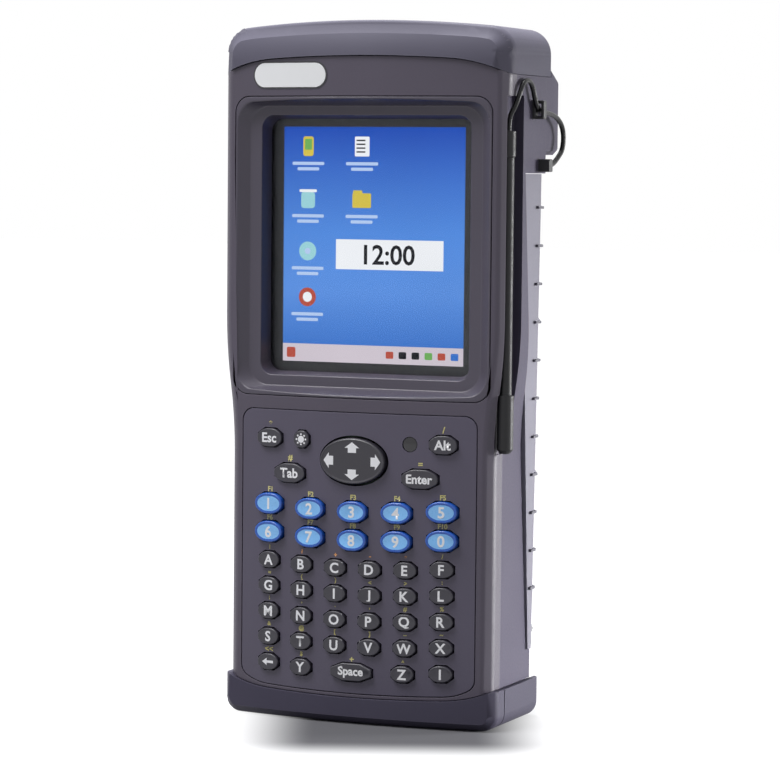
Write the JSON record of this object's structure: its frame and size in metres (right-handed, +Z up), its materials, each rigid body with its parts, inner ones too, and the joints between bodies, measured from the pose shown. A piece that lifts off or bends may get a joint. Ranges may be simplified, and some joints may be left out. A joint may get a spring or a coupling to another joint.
{
  "type": "handheld computer",
  "caption": "Rugged upright handheld computer with a deep-set touch display, a key pad with a rocker, rubber end bumpers, a ribbed battery cover and a tethered stylus.",
  "frame": {"origin": "middle of the flat face underneath that the handheld stands on, below the middle of the body's depth", "axes": "+X to the handheld's right, -Y the way the display faces, +Z up along its length"},
  "size_m": [0.1005, 0.0532, 0.219],
  "materials": {
    "case_plastic": "fine moulded grain, dark violet grey",
    "bezel_plastic": "smooth satin, dark violet grey",
    "panel_plastic": "satin, dark violet grey",
    "rear_plastic": "fine moulded grain, mid grey",
    "cover_plastic": "fine moulded grain, light grey",
    "bumper_rubber": "soft matt rubber, near black",
    "display_glass": "clear touch panel",
    "display_module": "lit colour display",
    "circuit_board": "green solder mask",
    "cell_pack": "shrink-wrapped cells",
    "screw_steel": "zinc-plated",
    "pivot_steel": "ground pin",
    "rocker_plastic": "satin, near black",
    "letter_key": "satin, near black",
    "light_key": "satin, near black with a pale disc",
    "digit_key": "pale blue, glossy",
    "stylus_plastic": "black, semi-gloss",
    "tether_rubber": "black elastic cord"
  },
  "bodies": {
    "case": {"battery_cover": "cover_plastic", "battery_pack": "cell_pack", "bottom_bumper": "bumper_rubber", "case_screws": "screw_steel", "display_bezel": "bezel_plastic", "front_case": "case_plastic", "keypad_panel": "panel_plastic", "lcd_module": "display_module", "main_board": "circuit_board", "rear_case": "rear_plastic", "stylus_tether": "tether_rubber", "top_bumper": "bumper_rubber", "touch_glass": "display_glass"},
    "key_0": {"key_0": "digit_key"},
    "key_1": {"key_1": "digit_key"},
    "key_2": {"key_2": "digit_key"},
    "key_3": {"key_3": "digit_key"},
    "key_4": {"key_4": "digit_key"},
    "key_5": {"key_5": "digit_key"},
    "key_6": {"key_6": "digit_key"},
    "key_7": {"key_7": "digit_key"},
    "key_8": {"key_8": "digit_key"},
    "key_9": {"key_9": "digit_key"},
    "key_a": {"key_a": "letter_key"},
    "key_alt": {"key_alt": "letter_key"},
    "key_b": {"key_b": "letter_key"},
    "key_back": {"key_back": "letter_key"},
    "key_bar": {"key_bar": "letter_key"},
    "key_c": {"key_c": "letter_key"},
    "key_d": {"key_d": "letter_key"},
    "key_e": {"key_e": "letter_key"},
    "key_enter": {"key_enter": "letter_key"},
    "key_esc": {"key_esc": "letter_key"},
    "key_f": {"key_f": "letter_key"},
    "key_g": {"key_g": "letter_key"},
    "key_h": {"key_h": "letter_key"},
    "key_i": {"key_i": "letter_key"},
    "key_j": {"key_j": "letter_key"},
    "key_k": {"key_k": "letter_key"},
    "key_l": {"key_l": "letter_key"},
    "key_light": {"key_light": "light_key"},
    "key_m": {"key_m": "letter_key"},
    "key_n": {"key_n": "letter_key"},
    "key_o": {"key_o": "letter_key"},
    "key_p": {"key_p": "letter_key"},
    "key_q": {"key_q": "letter_key"},
    "key_r": {"key_r": "letter_key"},
    "key_s": {"key_s": "letter_key"},
    "key_space": {"key_space": "letter_key"},
    "key_t": {"key_t": "letter_key"},
    "key_tab": {"key_tab": "letter_key"},
    "key_u": {"key_u": "letter_key"},
    "key_v": {"key_v": "letter_key"},
    "key_w": {"key_w": "letter_key"},
    "key_x": {"key_x": "letter_key"},
    "key_y": {"key_y": "letter_key"},
    "key_z": {"key_z": "letter_key"},
    "nav_pivot": {"nav_pivot": "pivot_steel"},
    "nav_pad": {"nav_pad": "rocker_plastic"},
    "stylus": {"stylus": "stylus_plastic"}
  },
  "joints": [
    {"name": "press_0", "type": "slide", "parent": "case", "child": "key_0", "axis": [0, 1, 0], "range_m": [0, 0.0008], "stiffness_N_per_m": 800},
    {"name": "press_1", "type": "slide", "parent": "case", "child": "key_1", "axis": [0, 1, 0], "range_m": [0, 0.0008], "stiffness_N_per_m": 800},
    {"name": "press_2", "type": "slide", "parent": "case", "child": "key_2", "axis": [0, 1, 0], "range_m": [0, 0.0008], "stiffness_N_per_m": 800},
    {"name": "press_3", "type": "slide", "parent": "case", "child": "key_3", "axis": [0, 1, 0], "range_m": [0, 0.0008], "stiffness_N_per_m": 800},
    {"name": "press_4", "type": "slide", "parent": "case", "child": "key_4", "axis": [0, 1, 0], "range_m": [0, 0.0008], "stiffness_N_per_m": 800},
    {"name": "press_5", "type": "slide", "parent": "case", "child": "key_5", "axis": [0, 1, 0], "range_m": [0, 0.0008], "stiffness_N_per_m": 800},
    {"name": "press_6", "type": "slide", "parent": "case", "child": "key_6", "axis": [0, 1, 0], "range_m": [0, 0.0008], "stiffness_N_per_m": 800},
    {"name": "press_7", "type": "slide", "parent": "case", "child": "key_7", "axis": [0, 1, 0], "range_m": [0, 0.0008], "stiffness_N_per_m": 800},
    {"name": "press_8", "type": "slide", "parent": "case", "child": "key_8", "axis": [0, 1, 0], "range_m": [0, 0.0008], "stiffness_N_per_m": 800},
    {"name": "press_9", "type": "slide", "parent": "case", "child": "key_9", "axis": [0, 1, 0], "range_m": [0, 0.0008], "stiffness_N_per_m": 800},
    {"name": "press_a", "type": "slide", "parent": "case", "child": "key_a", "axis": [0, 1, 0], "range_m": [0, 0.0008], "stiffness_N_per_m": 800},
    {"name": "press_alt", "type": "slide", "parent": "case", "child": "key_alt", "axis": [0, 1, 0], "range_m": [0, 0.0008], "stiffness_N_per_m": 800},
    {"name": "press_b", "type": "slide", "parent": "case", "child": "key_b", "axis": [0, 1, 0], "range_m": [0, 0.0008], "stiffness_N_per_m": 800},
    {"name": "press_back", "type": "slide", "parent": "case", "child": "key_back", "axis": [0, 1, 0], "range_m": [0, 0.0008], "stiffness_N_per_m": 800},
    {"name": "press_bar", "type": "slide", "parent": "case", "child": "key_bar", "axis": [0, 1, 0], "range_m": [0, 0.0008], "stiffness_N_per_m": 800},
    {"name": "press_c", "type": "slide", "parent": "case", "child": "key_c", "axis": [0, 1, 0], "range_m": [0, 0.0008], "stiffness_N_per_m": 800},
    {"name": "press_d", "type": "slide", "parent": "case", "child": "key_d", "axis": [0, 1, 0], "range_m": [0, 0.0008], "stiffness_N_per_m": 800},
    {"name": "press_e", "type": "slide", "parent": "case", "child": "key_e", "axis": [0, 1, 0], "range_m": [0, 0.0008], "stiffness_N_per_m": 800},
    {"name": "press_enter", "type": "slide", "parent": "case", "child": "key_enter", "axis": [0, 1, 0], "range_m": [0, 0.0008], "stiffness_N_per_m": 800},
    {"name": "press_esc", "type": "slide", "parent": "case", "child": "key_esc", "axis": [0, 1, 0], "range_m": [0, 0.0008], "stiffness_N_per_m": 800},
    {"name": "press_f", "type": "slide", "parent": "case", "child": "key_f", "axis": [0, 1, 0], "range_m": [0, 0.0008], "stiffness_N_per_m": 800},
    {"name": "press_g", "type": "slide", "parent": "case", "child": "key_g", "axis": [0, 1, 0], "range_m": [0, 0.0008], "stiffness_N_per_m": 800},
    {"name": "press_h", "type": "slide", "parent": "case", "child": "key_h", "axis": [0, 1, 0], "range_m": [0, 0.0008], "stiffness_N_per_m": 800},
    {"name": "press_i", "type": "slide", "parent": "case", "child": "key_i", "axis": [0, 1, 0], "range_m": [0, 0.0008], "stiffness_N_per_m": 800},
    {"name": "press_j", "type": "slide", "parent": "case", "child": "key_j", "axis": [0, 1, 0], "range_m": [0, 0.0008], "stiffness_N_per_m": 800},
    {"name": "press_k", "type": "slide", "parent": "case", "child": "key_k", "axis": [0, 1, 0], "range_m": [0, 0.0008], "stiffness_N_per_m": 800},
    {"name": "press_l", "type": "slide", "parent": "case", "child": "key_l", "axis": [0, 1, 0], "range_m": [0, 0.0008], "stiffness_N_per_m": 800},
    {"name": "press_light", "type": "slide", "parent": "case", "child": "key_light", "axis": [0, 1, 0], "range_m": [0, 0.0008], "stiffness_N_per_m": 800},
    {"name": "press_m", "type": "slide", "parent": "case", "child": "key_m", "axis": [0, 1, 0], "range_m": [0, 0.0008], "stiffness_N_per_m": 800},
    {"name": "press_n", "type": "slide", "parent": "case", "child": "key_n", "axis": [0, 1, 0], "range_m": [0, 0.0008], "stiffness_N_per_m": 800},
    {"name": "press_o", "type": "slide", "parent": "case", "child": "key_o", "axis": [0, 1, 0], "range_m": [0, 0.0008], "stiffness_N_per_m": 800},
    {"name": "press_p", "type": "slide", "parent": "case", "child": "key_p", "axis": [0, 1, 0], "range_m": [0, 0.0008], "stiffness_N_per_m": 800},
    {"name": "press_q", "type": "slide", "parent": "case", "child": "key_q", "axis": [0, 1, 0], "range_m": [0, 0.0008], "stiffness_N_per_m": 800},
    {"name": "press_r", "type": "slide", "parent": "case", "child": "key_r", "axis": [0, 1, 0], "range_m": [0, 0.0008], "stiffness_N_per_m": 800},
    {"name": "press_s", "type": "slide", "parent": "case", "child": "key_s", "axis": [0, 1, 0], "range_m": [0, 0.0008], "stiffness_N_per_m": 800},
    {"name": "press_space", "type": "slide", "parent": "case", "child": "key_space", "axis": [0, 1, 0], "range_m": [0, 0.0008], "stiffness_N_per_m": 800},
    {"name": "press_t", "type": "slide", "parent": "case", "child": "key_t", "axis": [0, 1, 0], "range_m": [0, 0.0008], "stiffness_N_per_m": 800},
    {"name": "press_tab", "type": "slide", "parent": "case", "child": "key_tab", "axis": [0, 1, 0], "range_m": [0, 0.0008], "stiffness_N_per_m": 800},
    {"name": "press_u", "type": "slide", "parent": "case", "child": "key_u", "axis": [0, 1, 0], "range_m": [0, 0.0008], "stiffness_N_per_m": 800},
    {"name": "press_v", "type": "slide", "parent": "case", "child": "key_v", "axis": [0, 1, 0], "range_m": [0, 0.0008], "stiffness_N_per_m": 800},
    {"name": "press_w", "type": "slide", "parent": "case", "child": "key_w", "axis": [0, 1, 0], "range_m": [0, 0.0008], "stiffness_N_per_m": 800},
    {"name": "press_x", "type": "slide", "parent": "case", "child": "key_x", "axis": [0, 1, 0], "range_m": [0, 0.0008], "stiffness_N_per_m": 800},
    {"name": "press_y", "type": "slide", "parent": "case", "child": "key_y", "axis": [0, 1, 0], "range_m": [0, 0.0008], "stiffness_N_per_m": 800},
    {"name": "press_z", "type": "slide", "parent": "case", "child": "key_z", "axis": [0, 1, 0], "range_m": [0, 0.0008], "stiffness_N_per_m": 800},
    {"name": "rocker_up_down", "type": "hinge", "parent": "case", "child": "nav_pivot", "pos_m": [0, -0.01575, 0.0825], "axis": [1, 0, 0], "range_deg": [-3.5, 3.5], "stiffness_Nm_per_rad": 0.2},
    {"name": "rocker_left_right", "type": "hinge", "parent": "nav_pivot", "child": "nav_pad", "pos_m": [0, -0.01575, 0.0825], "axis": [0, 0, 1], "range_deg": [-3.5, 3.5], "stiffness_Nm_per_rad": 0.2},
    {"name": "stylus_lift", "type": "slide", "parent": "case", "child": "stylus", "axis": [1, 0, 0], "range_m": [0, 0.012], "deforming": ["stylus_tether"]}
  ]
}
